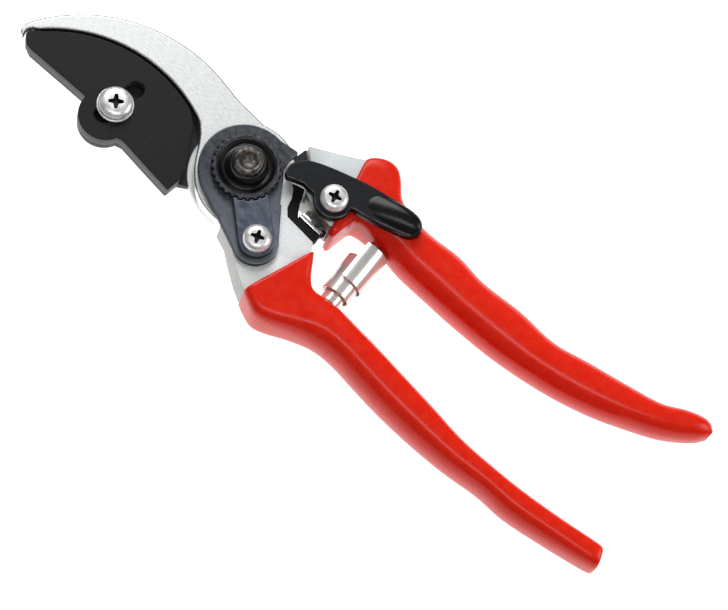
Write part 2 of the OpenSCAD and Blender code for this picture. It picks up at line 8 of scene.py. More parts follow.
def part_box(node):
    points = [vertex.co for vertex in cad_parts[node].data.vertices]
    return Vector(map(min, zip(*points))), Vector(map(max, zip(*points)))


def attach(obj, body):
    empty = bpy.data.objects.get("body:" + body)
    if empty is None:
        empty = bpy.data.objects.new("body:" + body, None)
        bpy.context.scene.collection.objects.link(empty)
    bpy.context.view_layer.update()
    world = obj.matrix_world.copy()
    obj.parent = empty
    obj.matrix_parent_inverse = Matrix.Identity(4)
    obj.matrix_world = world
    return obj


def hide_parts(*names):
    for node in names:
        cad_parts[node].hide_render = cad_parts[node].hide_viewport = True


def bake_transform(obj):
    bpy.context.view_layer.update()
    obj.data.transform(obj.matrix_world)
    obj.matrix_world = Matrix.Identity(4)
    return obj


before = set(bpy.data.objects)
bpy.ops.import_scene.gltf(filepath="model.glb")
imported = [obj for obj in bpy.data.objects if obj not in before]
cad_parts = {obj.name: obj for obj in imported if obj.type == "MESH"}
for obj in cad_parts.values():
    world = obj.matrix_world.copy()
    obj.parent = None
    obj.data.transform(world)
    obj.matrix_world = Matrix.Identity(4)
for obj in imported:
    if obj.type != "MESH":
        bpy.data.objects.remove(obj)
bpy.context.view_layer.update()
MM = 0.001

# ---------- Table, lamps and camera ----------
# The shears lie over a plain white lit table, under two large soft boxes and a narrow strip lamp,
# which draws the long light line down both grips.

bpy.context.scene.view_settings.view_transform = "Standard"

bpy.ops.mesh.primitive_plane_add(size=9, location=(0, 0, -0.11))
table = bpy.context.object
table.name = "white_table"
white = bpy.data.materials.new("table_white")
white.use_nodes = True
paper = white.node_tree.nodes["Principled BSDF"]
paper.inputs["Base Color"].default_value = (0.7, 0.7, 0.7, 1)
paper.inputs["Roughness"].default_value = 0.9
paper.inputs["Emission Color"].default_value = (1, 1, 1, 1)
paper.inputs["Emission Strength"].default_value = 0.75
table.data.materials.append(white)

world = bpy.data.worlds.new("white_room")
world.use_nodes = True
world.node_tree.nodes["Background"].inputs["Color"].default_value = (0.97, 0.985, 1, 1)
world.node_tree.nodes["Background"].inputs["Strength"].default_value = 0.22
bpy.context.scene.world = world


def soft_box(name, place, aim, width, height, watts):
    lamp = bpy.data.lights.new(name, "AREA")
    lamp.shape = "RECTANGLE"
    lamp.size = width
    lamp.size_y = height
    lamp.energy = watts
    box = bpy.data.objects.new(name, lamp)
    bpy.context.scene.collection.objects.link(box)
    box.location = place
    box.rotation_euler = (Vector(aim) - Vector(place)).to_track_quat("-Z", "Y").to_euler()
    return box


soft_box("box_over_tips", (0.5, -0.6, 0.75), (0, 0, 0), 0.6, 0.6, 6)
soft_box("box_over_butts", (-0.75, -0.45, 0.6), (-0.06, 0, 0), 0.5, 0.5, 3)
soft_box("strip_over_grips", (-0.1, 0.16, 0.9), (-0.07, 0.01, 0), 0.5, 0.1, 1.2)

lens = bpy.data.cameras.new("front_lens")
lens.sensor_width = 36
lens.lens = 159.7
lens.clip_start = 0.05
front = bpy.data.objects.new("front_camera", lens)
bpy.context.scene.collection.objects.link(front)
front.location = (-0.094278, 0.290159, 0.811791)
front.rotation_euler = (math.radians(17.4121), math.radians(-9.2370), math.radians(-143.2832))
bpy.context.scene.camera = front

# ---------- Hook jaw ----------
# The curved bearing jaw, blanked from plate steel and ground bright on its face. Its edges
# are broken, and the grinding marks run slantwise across it.


def face_loops(node, height):
    """Outline and holes of the flat face of a CAD node at that height, outline first."""
    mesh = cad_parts[node].data
    place = [(round(v.co.x, 6), round(v.co.y, 6)) for v in mesh.vertices]
    sides = {}
    for face in mesh.polygons:
        if all(abs(mesh.vertices[i].co.z - height) < 2e-5 for i in face.vertices):
            corners = [place[i] for i in face.vertices]
            for a, b in zip(corners, corners[1:] + corners[:1]):
                if (b, a) in sides:
                    del sides[(b, a)]
                elif a != b:
                    sides[(a, b)] = True
    after = dict(sides.keys())
    loops = []
    while after:
        first = next(iter(after))
        loop, here = [first], after.pop(first)
        while here != first:
            loop.append(here)
            here = after.pop(here)
        loops.append([Vector(p) for p in loop])

    def area(loop):
        return sum(a.x * b.y - b.x * a.y for a, b in zip(loop, loop[1:] + loop[:1])) / 2

    loops.sort(key=lambda loop: -abs(area(loop)))
    return [loop if (area(loop) > 0) == (k == 0) else loop[::-1] for k, loop in enumerate(loops)]


def eased(loop, radius, small=20):
    """The loop with round corners. Short sides that make up a curve become a smooth curve."""
    kept = [
        p for a, p, b in zip(loop[-1:] + loop[:-1], loop, loop[1:] + loop[:1])
        if (p - a).length > 1e-6 and (p - a).angle(b - p, 0) > 0.004
    ]
    out = []
    for a, p, b in zip(kept[-1:] + kept[:-1], kept, kept[1:] + kept[:1]):
        u, v = (p - a).normalized(), (b - p).normalized()
        short = min((p - a).length, (b - p).length)
        turn = u.angle(v)
        if math.degrees(turn) < small:
            cut, steps = 0.5 * short, 3
        else:
            cut, steps = min(radius * math.tan(turn / 2), 0.45 * short), 4 + int(turn * 4)
        start, end = p - u * cut, p + v * cut
        if math.degrees(turn) < small:
            points = [
                start * (1 - k / steps) ** 2 + p * 2 * (k / steps) * (1 - k / steps) + end * (k / steps) ** 2
                for k in range(steps + 1)
            ]
        else:
            side = 1 if u.x * v.y - u.y * v.x > 0 else -1
            bend = cut / math.tan(turn / 2)
            centre = start + Vector((-u.y, u.x)) * bend * side
            arm = start - centre
            points = []
            for k in range(steps + 1):
                a1 = side * turn * k / steps
                points.append(centre + Vector((
                    arm.x * math.cos(a1) - arm.y * math.sin(a1),
                    arm.x * math.sin(a1) + arm.y * math.cos(a1),
                )))
        for q in points:
            if not out or (q - out[-1]).length > 2e-6:
                out.append(q)
    if (out[0] - out[-1]).length < 2e-6:
        out.pop()
    return out


def inset(loop, depth):
    """The loop moved into the metal. The outline runs counter-clockwise and the holes clockwise."""
    out = []
    for a, p, b in zip(loop[-1:] + loop[:-1], loop, loop[1:] + loop[:1]):
        u, v = (p - a).normalized(), (b - p).normalized()
        along = (u + v).normalized()
        left = Vector((-along.y, along.x))
        out.append(p + left * depth / max(0.5, left.dot(Vector((-u.y, u.x)))))
    return out


def round_edges(back, front, r_back, r_front, steps=4):
    """Heights and insets of a plate's wall, with both edges rounded over."""
    lower = [
        (back + r_back * (1 - math.cos(t)), r_back * (1 - math.sin(t)))
        for t in [math.pi / 2 * k / steps for k in range(steps + 1)]
    ]
    upper = [(front - (z - back) * r_front / r_back, d * r_front / r_back) for z, d in lower[::-1]]
    flat = 0.05 * MM
    return [(back, r_back + flat)] + lower + upper + [(front, r_front + flat)]


def shaped(name, verts, faces, crease=38):
    mesh = bpy.data.meshes.new(name)
    mesh.from_pydata([tuple(v) for v in verts], [], faces)
    mesh.validate()
    mesh.shade_smooth()
    mesh.set_sharp_from_angle(angle=math.radians(crease))
    piece = bpy.data.objects.new(name, mesh)
    bpy.context.scene.collection.objects.link(piece)
    return piece


def plate(name, loops, levels):
    """A closed plate on an outline with holes. Its wall follows levels, from back to front."""
    verts, faces, first_ring, last_ring = [], [], [], []
    for loop in loops:
        n = len(loop)
        for k, (z, depth) in enumerate(levels):
            start = len(verts)
            verts += [(p.x, p.y, z) for p in inset(loop, depth)]
            if k == 0:
                first_ring.append(start)
            if k == len(levels) - 1:
                last_ring.append(start)
            if k:
                old = start - n
                faces += [(old + i, old + (i + 1) % n, start + (i + 1) % n, start + i) for i in range(n)]
    for starts, up in ((first_ring, False), (last_ring, True)):
        ids = [s + i for s, loop in zip(starts, loops) for i in range(len(loop))]
        rims = [[Vector(verts[s + i]) for i in range(len(loop))] for s, loop in zip(starts, loops)]
        for tri in tessellate_polygon(rims):
            a, b, c = (ids[i] for i in tri)
            pa, pb, pc = (Vector(verts[i]) for i in (a, b, c))
            if ((pb - pa).cross(pc - pa).z > 0) != up:
                b, c = c, b
            faces.append((a, b, c))
    return shaped(name, verts, faces)


def srgb(*levels):
    """A colour as a printed swatch gives it, from 0 to 255, in the shader's own scale."""
    shares = [v / 255 for v in levels]
    return [v / 12.92 if v <= 0.04045 else ((v + 0.055) / 1.055) ** 2.4 for v in shares] + [1]


def finish(name, dark, light, rough, metallic=1.0, marks=(900, 900, 900), turn=0, relief=0.0, detail=4,
           coat=0.0, specular=0.5):
    """A worked surface: marks are how many grains fit in a metre along each axis, turned about Z."""
    material = bpy.data.materials.new(name)
    material.use_nodes = True
    nodes, links = material.node_tree.nodes, material.node_tree.links
    skin = nodes["Principled BSDF"]
    skin.inputs["Metallic"].default_value = metallic
    skin.inputs["Specular IOR Level"].default_value = specular
    skin.inputs["Coat Weight"].default_value = coat
    skin.inputs["Coat Roughness"].default_value = 0.12
    place = nodes.new("ShaderNodeTexCoord")
    grain_way = nodes.new("ShaderNodeMapping")
    grain_way.inputs["Rotation"].default_value = (0, 0, math.radians(turn))
    grain_way.inputs["Scale"].default_value = marks
    grain = nodes.new("ShaderNodeTexNoise")
    grain.inputs["Scale"].default_value = 1
    grain.inputs["Detail"].default_value = detail
    shade = nodes.new("ShaderNodeValToRGB")
    shade.color_ramp.elements[0].position = 0.3
    shade.color_ramp.elements[0].color = dark
    shade.color_ramp.elements[1].position = 0.7
    shade.color_ramp.elements[1].color = light
    gloss = nodes.new("ShaderNodeMapRange")
    gloss.inputs["From Min"].default_value = 0.3
    gloss.inputs["From Max"].default_value = 0.7
    gloss.inputs["To Min"].default_value = rough[0]
    gloss.inputs["To Max"].default_value = rough[1]
    links.new(place.outputs["Object"], grain_way.inputs["Vector"])
    links.new(grain_way.outputs["Vector"], grain.inputs["Vector"])
    links.new(grain.outputs["Fac"], shade.inputs["Fac"])
    links.new(shade.outputs["Color"], skin.inputs["Base Color"])
    links.new(grain.outputs["Fac"], gloss.inputs["Value"])
    links.new(gloss.outputs["Result"], skin.inputs["Roughness"])
    if relief:
        bump = nodes.new("ShaderNodeBump")
        bump.inputs["Strength"].default_value = 0.5
        bump.inputs["Distance"].default_value = relief * MM
        links.new(grain.outputs["Fac"], bump.inputs["Height"])
        links.new(bump.outputs["Normal"], skin.inputs["Normal"])
    return material


def mount(piece, body, slot, *nodes):
    """Fixes a piece to its body, in place of the CAD nodes named, if any."""
    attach(piece, body)
    if nodes:
        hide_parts(*nodes)


def dress(piece, material, body=None, slot=None, *nodes):
    """Gives a piece its one finish. Where a body is given, the piece is mounted too; the CAD nodes here are
    given none.
    """
    piece.data.materials.clear()
    piece.data.materials.append(material)
    if body:
        mount(piece, body, slot, *nodes)
    return piece


def paint_light_on_walls(piece, material, wanted=lambda normal: abs(normal.z) < 0.55):
    """Paints the piece's upright faces, or those wanted, with another material, used for painted shade and
    painted highlights.
    """
    piece.data.materials.append(material)
    for face in piece.data.polygons:
        if wanted(face.normal):
            face.material_index = len(piece.data.materials) - 1


def top_of(node):
    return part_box(node)[1].z


def back_of(node):
    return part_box(node)[0].z


ground_steel = finish("ground_jaw_steel", srgb(210, 212, 211), srgb(234, 237, 236), (0.38, 0.5),
                      metallic=0.8, marks=(700, 2400, 900), turn=-52, relief=0.004, detail=6)
jaw_shade_paint = finish("jaw_wall_painted_shade", srgb(70, 70, 68), srgb(120, 120, 118), (0.4, 0.6),
                   marks=(900, 900, 900), relief=0.01)
jaw_highlight_paint = finish("jaw_wall_painted_highlight", srgb(225, 226, 225), srgb(250, 250, 250), (0.2, 0.3),
                     marks=(1500, 1500, 1500), relief=0.003)
hook_outline = [eased(loop, 0.9 * MM) for loop in face_loops("hook_jaw", top_of("hook_jaw"))]
hook = plate("hook_jaw_ground", hook_outline,
             round_edges(back_of("hook_jaw"), top_of("hook_jaw"), 0.3 * MM, 0.55 * MM))
dress(hook, ground_steel, "lower_lever", "jaw_steel", "hook_jaw")
# Painted shade and highlight: the jaw's walls facing -Y are coloured dark, those facing +Y bright.
paint_light_on_walls(hook, jaw_shade_paint, lambda n: n.z < 0.97 and n.y < -0.1)
paint_light_on_walls(hook, jaw_highlight_paint, lambda n: n.z < 0.95 and n.y > 0.1)

# ---------- Jaw rivets ----------
# Two steel rivets hold the hook in the lower forging. They are set flush with its face,
# under the lock plate.

plain_steel = finish("plain_steel", srgb(150, 151, 152), srgb(186, 187, 188), (0.3, 0.45),
                     marks=(1500, 1500, 1500), relief=0.004)
dress(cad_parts["jaw_rivets"], plain_steel)

# ---------- Lower forging ----------
# The light-alloy lever under the lock plate, forged, trimmed and shot-blasted. The blasting
# leaves a fine even grain on its faces.


def break_edges(node, width, segments=3):
    """Joins a CAD node's split points and rounds its sharp edges over."""
    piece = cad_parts[node]
    weld = piece.modifiers.new("weld", "WELD")
    weld.merge_threshold = 0.004 * MM
    bevel = piece.modifiers.new("edge", "BEVEL")
    bevel.width = width * MM
    bevel.segments = segments
    bevel.limit_method = "ANGLE"
    bevel.angle_limit = math.radians(28)
    bevel.harden_normals = True
    for face in piece.data.polygons:
        face.use_smooth = True
    piece.data.set_sharp_from_angle(angle=math.radians(30))
    return piece


blasted_alloy = finish("blasted_alloy", srgb(222, 226, 227), srgb(244, 247, 247), (0.52, 0.64), metallic=0.6,
                       marks=(2600, 2600, 2600), relief=0.02, detail=2)
# Painted shade: a darker copy of the alloy for the forgings' upright walls.
alloy_wall_shade_paint = finish("alloy_wall_painted_shade", srgb(168, 168, 164), srgb(200, 200, 196), (0.45, 0.6),
                       metallic=0.75, marks=(1500, 1500, 300), relief=0.03)
lower_forging = dress(break_edges("lower_handle", 0.35), blasted_alloy)
paint_light_on_walls(lower_forging, alloy_wall_shade_paint)

# ---------- Lower grip ----------
# Red plastic cast straight onto the alloy arm. It starts with a squared collar behind the
# lock screw, narrows to the finger part and ends in a blunt squared butt.


def curve_through(points, steps):
    """Rows of numbers on a smooth curve through the given rows."""
    rows = []
    last = len(points) - 1
    for i in range(last):
        a, b, c, d = (points[max(i - 1, 0)], points[i], points[i + 1], points[min(i + 2, last)])
        for k in range(steps):
            t = k / steps
            rows.append([
                0.5 * (2 * q + (r - p) * t + (2 * p - 5 * q + 4 * r - s) * t * t
                       + (3 * q - p - 3 * r + s) * t * t * t)
                for p, q, r, s in zip(a, b, c, d)
            ])
    rows.append(list(points[last]))
    return rows


def grip_skin(name, ribs, half_depth, edge_head, edge_butt, sides=56, steps=6):
    """A closed skin over ribs: inner x, y, outer x, y, loss of depth, squareness, in millimetres."""
    rows = curve_through(ribs, steps)

    def rim(row, shift, cut):
        inner, outer = Vector(row[0:2]), Vector(row[2:4])
        mid, across = (inner + outer) / 2, (outer - inner) / 2
        across *= 1 - cut / across.length
        mid += shift
        deep = half_depth - row[4] - cut
        ring = []
        for i in range(sides):
            angle = 2 * math.pi * i / sides
            c, s = math.cos(angle), math.sin(angle)
            u = math.copysign(abs(c) ** (2 / row[5]), c)
            v = math.copysign(abs(s) ** (2 / row[5]), s)
            p = mid + across * u
            ring.append((p.x * MM, p.y * MM, (half_depth + v * deep) * MM))
        return ring

    def rolled(row, way, radius):
        rings = [rim(row, Vector((0, 0)), radius + 1.5), rim(row, Vector((0, 0)), radius + 0.1)]
        for k in range(5):
            t = math.pi / 2 * k / 5
            rings.append(rim(row, way * radius * (1 - math.cos(t)), radius * (1 - math.sin(t))))
        return rings

    def mid_of(row):
        return Vector(((row[0] + row[2]) / 2, (row[1] + row[3]) / 2))

    head_way = (mid_of(rows[2]) - mid_of(rows[0])).normalized()
    butt_way = (mid_of(rows[-3]) - mid_of(rows[-1])).normalized()
    rings = rolled(rows[0], head_way, edge_head)
    rings += [rim(row, Vector((0, 0)), 0) for row in rows[3:-3]]
    rings += rolled(rows[-1], butt_way, edge_butt)[::-1]
    verts = [p for ring in rings for p in ring]
    faces = []
    for k in range(len(rings) - 1):
        for i in range(sides):
            a, b = k * sides + i, k * sides + (i + 1) % sides
            faces.append((a, a + sides, b + sides, b))
    faces.append(tuple(range(sides)))
    faces.append(tuple((len(rings) - 1) * sides + i for i in range(sides - 1, -1, -1)))
    skin = shaped(name, verts, faces, crease=80)
    return skin


red_plastic = finish("red_grip_plastic", srgb(236, 30, 2), srgb(244, 38, 5), (0.22, 0.3), metallic=0,
                     marks=(420, 420, 420), relief=0.008, detail=3, specular=0.32)
half_depth = round(top_of("lower_grip") / MM, 3) / 2
lower_ribs = [
    (-27.6, 5.8, -19.6, 26.4, 0, 9), (-29, 8, -21.9, 27.9, 0, 8),
    (-31.2, 11.6, -25.8, 29.7, 0, 6), (-33.6, 13.8, -30, 29.2, 0, 4.4),
    (-37.5, 13.8, -35.8, 27.1, 0, 3.4), (-43, 13.4, -42.4, 25.5, 0, 2.6),
    (-50, 14.4, -49.2, 25.5, 0, 2.5), (-57.5, 15.5, -58.2, 27.1, 0, 2.5),
    (-66, 17, -67.5, 28.6, 0, 2.5), (-77, 18.9, -78.5, 29.7, 0.3, 2.5),
    (-88.5, 21.1, -89.5, 30.1, 0.6, 2.5), (-100, 21.9, -100.5, 29.7, 1, 2.5),
    (-110, 22, -110, 30.4, 1.2, 2.5), (-121.5, 21.6, -121.8, 29.4, 1.5, 2.6),
    (-131.5, 21, -132.7, 28, 1.8, 3), (-134.8, 20.9, -136.9, 27.2, 2.2, 3.2),
]
lower_grip = grip_skin("lower_grip_skin", lower_ribs, half_depth, 0.8, 0.9)
dress(lower_grip, red_plastic, "lower_lever", "grip_red", "lower_grip")

# ---------- Pivot bolt ----------
# The shouldered bolt both levers turn on, blackened. Its flat head lies at the back and its
# threaded end stands out of the nut.


def turned(name, profile, centre=(0, 0), sides=72, crease=38):
    """A solid turned about Z from radius and height pairs. Off the axis the profile is a loop."""
    verts, faces = [], []
    inner = [p for p in profile if p[0] > 1e-9]
    for r, z in inner:
        for i in range(sides):
            angle = 2 * math.pi * i / sides
            verts.append((centre[0] + r * math.cos(angle), centre[1] + r * math.sin(angle), z))
    for k in range(len(inner) - 1):
        for i in range(sides):
            a, b = k * sides + i, k * sides + (i + 1) % sides
            faces.append((a, b, b + sides, a + sides))
    if len(inner) < len(profile):
        faces.append(tuple(range(sides - 1, -1, -1)))
        faces.append(tuple((len(inner) - 1) * sides + i for i in range(sides)))
    else:
        top = (len(inner) - 1) * sides
        faces += [(top + i, top + (i + 1) % sides, (i + 1) % sides, i) for i in range(sides)]
    return shaped(name, verts, faces, crease)


black_oxide = finish("black_oxide", srgb(40, 38, 37), srgb(74, 71, 69), (0.28, 0.5), metallic=0.85,
                     marks=(900, 900, 900), relief=0.03, detail=3)
dress(break_edges("pivot_bolt", 0.25), black_oxide)
worn_end = finish("worn_bolt_end", srgb(34, 31, 29), srgb(128, 121, 115), (0.24, 0.42), metallic=0.85,
                  marks=(900, 900, 900), relief=0.3, detail=3)
skin_thick = 0.03 * MM
end_top = top_of("pivot_bolt") + skin_thick
bolt_end = turned("pivot_bolt_end", [
    (0, end_top - 4 * MM), (4 * MM + skin_thick, end_top - 4 * MM),
    (4 * MM + skin_thick, end_top - 0.9 * MM),
    (3.9 * MM, end_top - 0.35 * MM), (3.65 * MM, end_top - 0.06 * MM), (3.35 * MM, end_top),
    (2.6 * MM, end_top - 0.02 * MM), (2.1 * MM, end_top - 0.3 * MM), (0, end_top - 0.3 * MM)])
dress(bolt_end, worn_end, "lower_lever", "blackened_steel")

# ---------- Lock plate ----------
# Blued plate steel on the lower forging. It spreads the nut's load, carries the lock screw
# and has an ear for the thumb catch.

blued = finish("blued_plate", srgb(60, 62, 67), srgb(84, 87, 93), (0.32, 0.46), metallic=0.75,
               marks=(500, 700, 500), turn=20, relief=0.004)
# Painted highlight: a lighter copy of the blue for the edge bevels.
blued_bevel_highlight_paint = finish("blued_bevel_painted_highlight", srgb(96, 100, 108), srgb(130, 134, 142), (0.25, 0.4), metallic=0.8,
                    marks=(700, 700, 700), relief=0.006)
lock_line = math.radians(134.5)
# Painted shade: a near-black copy for the upright walls.
blued_wall_shade_paint = finish("blued_wall_painted_shade", srgb(12, 12, 14), srgb(26, 27, 30), (0.4, 0.6), metallic=0.4,
                    marks=(900, 900, 900), relief=0.01)
lock_outline = [eased(loop, 0.8 * MM) for loop in face_loops("lock_plate", top_of("lock_plate"))]
lock_plate = plate("lock_plate_blued", lock_outline,
                   round_edges(back_of("lock_plate"), top_of("lock_plate"), 0.2 * MM, 0.4 * MM))
dress(lock_plate, blued, "lower_lever", "blued_steel", "lock_plate")
paint_light_on_walls(lock_plate, blued_wall_shade_paint)
paint_light_on_walls(lock_plate, blued_bevel_highlight_paint, lambda n: 0.5 < n.z < 0.95)
# Painted light: the plate's colour turns paler along lock_line, towards the lock screw end.
nodes, links = blued.node_tree.nodes, blued.node_tree.links
screw_way = nodes.new("ShaderNodeVectorMath")
screw_way.operation = "DOT_PRODUCT"
screw_way.inputs[1].default_value = (math.cos(lock_line), math.sin(lock_line), 0)
painted_light_ramp = nodes.new("ShaderNodeMapRange")
painted_light_ramp.inputs["From Min"].default_value = -2 * MM
painted_light_ramp.inputs["From Max"].default_value = 22 * MM
painted_light_mix = nodes.new("ShaderNodeMix")
painted_light_mix.data_type = "RGBA"
painted_light_mix.inputs["B"].default_value = srgb(120, 126, 136)
links.new(nodes["Texture Coordinate"].outputs["Object"], screw_way.inputs[0])
links.new(screw_way.outputs["Value"], painted_light_ramp.inputs["Value"])
links.new(painted_light_ramp.outputs["Result"], painted_light_mix.inputs["Factor"])
links.new(nodes["Color Ramp"].outputs["Color"], painted_light_mix.inputs["A"])
links.new(painted_light_mix.outputs["Result"], nodes["Principled BSDF"].inputs["Base Color"])

# ---------- Pivot nut ----------
# A black flange nut with a toothed rim. A dished ring runs between the rim and the boss, and
# a coin or a key turns it when the lock is off.

nut_outline = [eased(loop, 0.22 * MM, 14) for loop in face_loops("pivot_nut", back_of("pivot_nut"))]
rim_top = top_of("lock_segment")
rim_black = finish("nut_rim_black", srgb(50, 51, 54), srgb(84, 86, 90), (0.3, 0.42), metallic=0.75,
                   marks=(700, 700, 700), relief=0.01)
# Painted shade: a near-black copy for the nut's upright walls, the tooth gaps among them.
nut_wall_shade_paint = finish("nut_wall_painted_shade", srgb(10, 10, 11), srgb(22, 22, 24), (0.35, 0.5), metallic=0.4,
                  marks=(900, 900, 900), relief=0.01)
bore_r, bore_sides = 7.9 * MM, 72
bore = [Vector((bore_r * math.cos(a), bore_r * math.sin(a)))
        for a in [-2 * math.pi * k / bore_sides for k in range(bore_sides)]]
nut_rim = plate("pivot_nut_rim", [nut_outline[0], bore],
                round_edges(back_of("pivot_nut"), rim_top, 0.12 * MM, 0.3 * MM, 3))
dress(nut_rim, rim_black, "lower_lever", "blackened_steel")
paint_light_on_walls(nut_rim, nut_wall_shade_paint)
nut_black = finish("nut_gloss_black", srgb(14, 13, 12), srgb(24, 22, 21), (0.2, 0.26), metallic=0.2,
                   marks=(300, 300, 300), coat=0.5)
nut_top = top_of("pivot_nut")
nut_dish = turned("pivot_nut_dish", [
    (4.06 * MM, rim_top - 1.9 * MM), (7.95 * MM, rim_top - 1.9 * MM), (7.95 * MM, rim_top - 0.12 * MM),
    (7.8 * MM, rim_top - 0.02 * MM), (7.6 * MM, rim_top - 0.1 * MM), (7.2 * MM, rim_top - 0.5 * MM),
    (6.7 * MM, rim_top - 0.95 * MM), (6.2 * MM, rim_top - 1.15 * MM), (5.8 * MM, rim_top - 1.0 * MM),
    (5.45 * MM, rim_top - 0.4 * MM), (5.2 * MM, rim_top + 0.5 * MM), (5.0 * MM, rim_top + 1.4 * MM),
    (4.75 * MM, nut_top - 0.5 * MM), (4.5 * MM, nut_top - 0.12 * MM), (4.25 * MM, nut_top),
    (4.06 * MM, nut_top - 0.05 * MM)], crease=80)
dress(nut_dish, nut_black, "lower_lever", "blackened_steel", "pivot_nut")

# ---------- Lock segment and lock screw ----------
# The toothed segment stands in the nut's gaps and keeps it from turning. A bright pan-head
# screw with a cross recess clamps it to the lock plate.

segment_blue = finish("blued_segment", srgb(84, 91, 104), srgb(104, 112, 126), (0.3, 0.44), metallic=0.75,
                      marks=(420, 600, 500), turn=40, relief=0.004)
segment_outline = [eased(loop, 0.25 * MM, 16) for loop in face_loops("lock_segment", top_of("lock_segment"))]
segment = plate("lock_segment_blued", segment_outline,
                round_edges(back_of("lock_segment"), top_of("lock_segment"), 0.15 * MM, 0.24 * MM, 3))
dress(segment, segment_blue, "lower_lever", "blued_steel", "lock_segment")
# Painted shade on the segment's walls, painted highlight on its bevels not facing +X.
paint_light_on_walls(segment, blued_wall_shade_paint)
paint_light_on_walls(segment, blued_bevel_highlight_paint, lambda n: 0.5 < n.z < 0.95 and n.x < 0.2)

bright_plate = finish("bright_nickel", srgb(232, 231, 228), srgb(254, 254, 253), (0.26, 0.4), metallic=0.7,
                      marks=(700, 700, 700), relief=0.04, detail=3)
# Painted shade: the dark colour of the cross recess.
recess_shade_paint = finish("screw_recess_painted_shade", srgb(24, 24, 25), srgb(60, 60, 62), (0.4, 0.6), metallic=0.5,
                     marks=(900, 900, 900), relief=0.02)


def pan_screw(name, node, radius, height, recess, turn, stem):
    """A pan head with a cross recess, and the screw's stem down to the CAD node's lower end."""
    low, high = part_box(node)
    centre = ((low.x + high.x) / 2, (low.y + high.y) / 2)
    foot = high.z - height
    profile = [(0, low.z), (stem - 0.3 * MM, low.z), (stem, low.z + 0.3 * MM), (stem, foot),
               (radius - 0.25 * MM, foot), (radius, foot + 0.2 * MM), (radius, foot + height * 0.38)]
    for k in range(1, 9):
        t = math.pi / 2 * k / 9
        profile.append((radius * (0.5 + 0.5 * math.cos(t)), foot + height * (0.38 + 0.62 * math.sin(t))))
    profile += [(radius * 0.44, high.z), (0, high.z)]
    head = turned(name, profile, centre, 80)
    wide, slim = recess, recess * 0.2
    cross = []
    for k in range(4):
        a = math.radians(turn + 90 * k)
        out = Vector((math.cos(a), math.sin(a)))
        side = Vector((-out.y, out.x))
        cross += [out * wide - side * slim, out * wide + side * slim,
                  out * slim * 1.7 + side * slim * 1.7]
    cross = eased([Vector(centre) + p for p in cross], 0.2 * MM, 5)
    cutter = plate(name + "_recess", [cross], [
        (high.z - height * 0.75, 0.3 * MM), (high.z - height * 0.3, 0.1 * MM), (high.z + 0.2 * MM, 0)])
    cut = head.modifiers.new("recess", "BOOLEAN")
    cut.operation = "DIFFERENCE"
    cut.object = cutter
    cut.solver = "EXACT"
    bpy.context.view_layer.update()
    whole = bpy.data.meshes.new_from_object(head.evaluated_get(bpy.context.evaluated_depsgraph_get()))
    head.modifiers.clear()
    head.data = whole
    whole.set_sharp_from_angle(angle=math.radians(35))
    bpy.data.objects.remove(cutter)
    dress(head, bright_plate)
    # The recess faces are painted dark as shade.
    head.data.materials.append(recess_shade_paint)
    for face in head.data.polygons:
        off = (Vector(face.center[0:2]) - Vector(centre)).length
        in_recess = off <= recess * 1.05 and foot <= face.center.z <= high.z - 0.05 * MM
        face.material_index = 1 if in_recess else 0
    return head


lock_screw = pan_screw("lock_screw_head", "lock_screw", 3.8 * MM, 2.5 * MM, 1.9 * MM, 20, 2 * MM)
mount(lock_screw, "lower_lever", "bright_screw", "lock_screw")

# ---------- Rubber buffer ----------
# A black moulded rubber stop pressed into the notch of the lower forging. It takes the blow
# when the levers close.

rubber_and_pad_shade = finish("buffer_rubber", srgb(8, 8, 8), srgb(24, 24, 24), (0.5, 0.7), metallic=0,
                marks=(1200, 1200, 1200), relief=0.05, specular=0.2)
# The arm up the forging's edge also fills the gap beside it, where there is only shade, so there the black
# rubber is painted shade.
buffer_outline = [eased(loop, 0.4 * MM) for loop in face_loops("rubber_buffer", top_of("rubber_buffer"))]
buffer = plate("rubber_buffer_moulded", buffer_outline,
               round_edges(back_of("rubber_buffer"), top_of("rubber_buffer"), 0.25 * MM, 0.35 * MM))
dress(buffer, rubber_and_pad_shade, "lower_lever", "buffer_rubber", "rubber_buffer")

# ---------- Spring and its studs ----------
# A volute spring: one strip of hard steel wound on a taper, so each turn slides inside the
# last. A stud in each handle carries one end.

for stud in ("lower_spring_seat", "upper_spring_seat"):
    dress(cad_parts[stud], plain_steel)

polished_strip = finish("polished_spring_strip", srgb(236, 234, 228), srgb(246, 245, 241), (0.2, 0.24),
                        metallic=0.6, marks=(200, 200, 200))
spring_low, spring_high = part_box("volute_spring")
axis_x = (spring_low.x + spring_high.x) / 2 - 0.1 * MM
axis_z = half_depth * MM
strip_thick, strip_wide = 0.45 * MM, 12 * MM


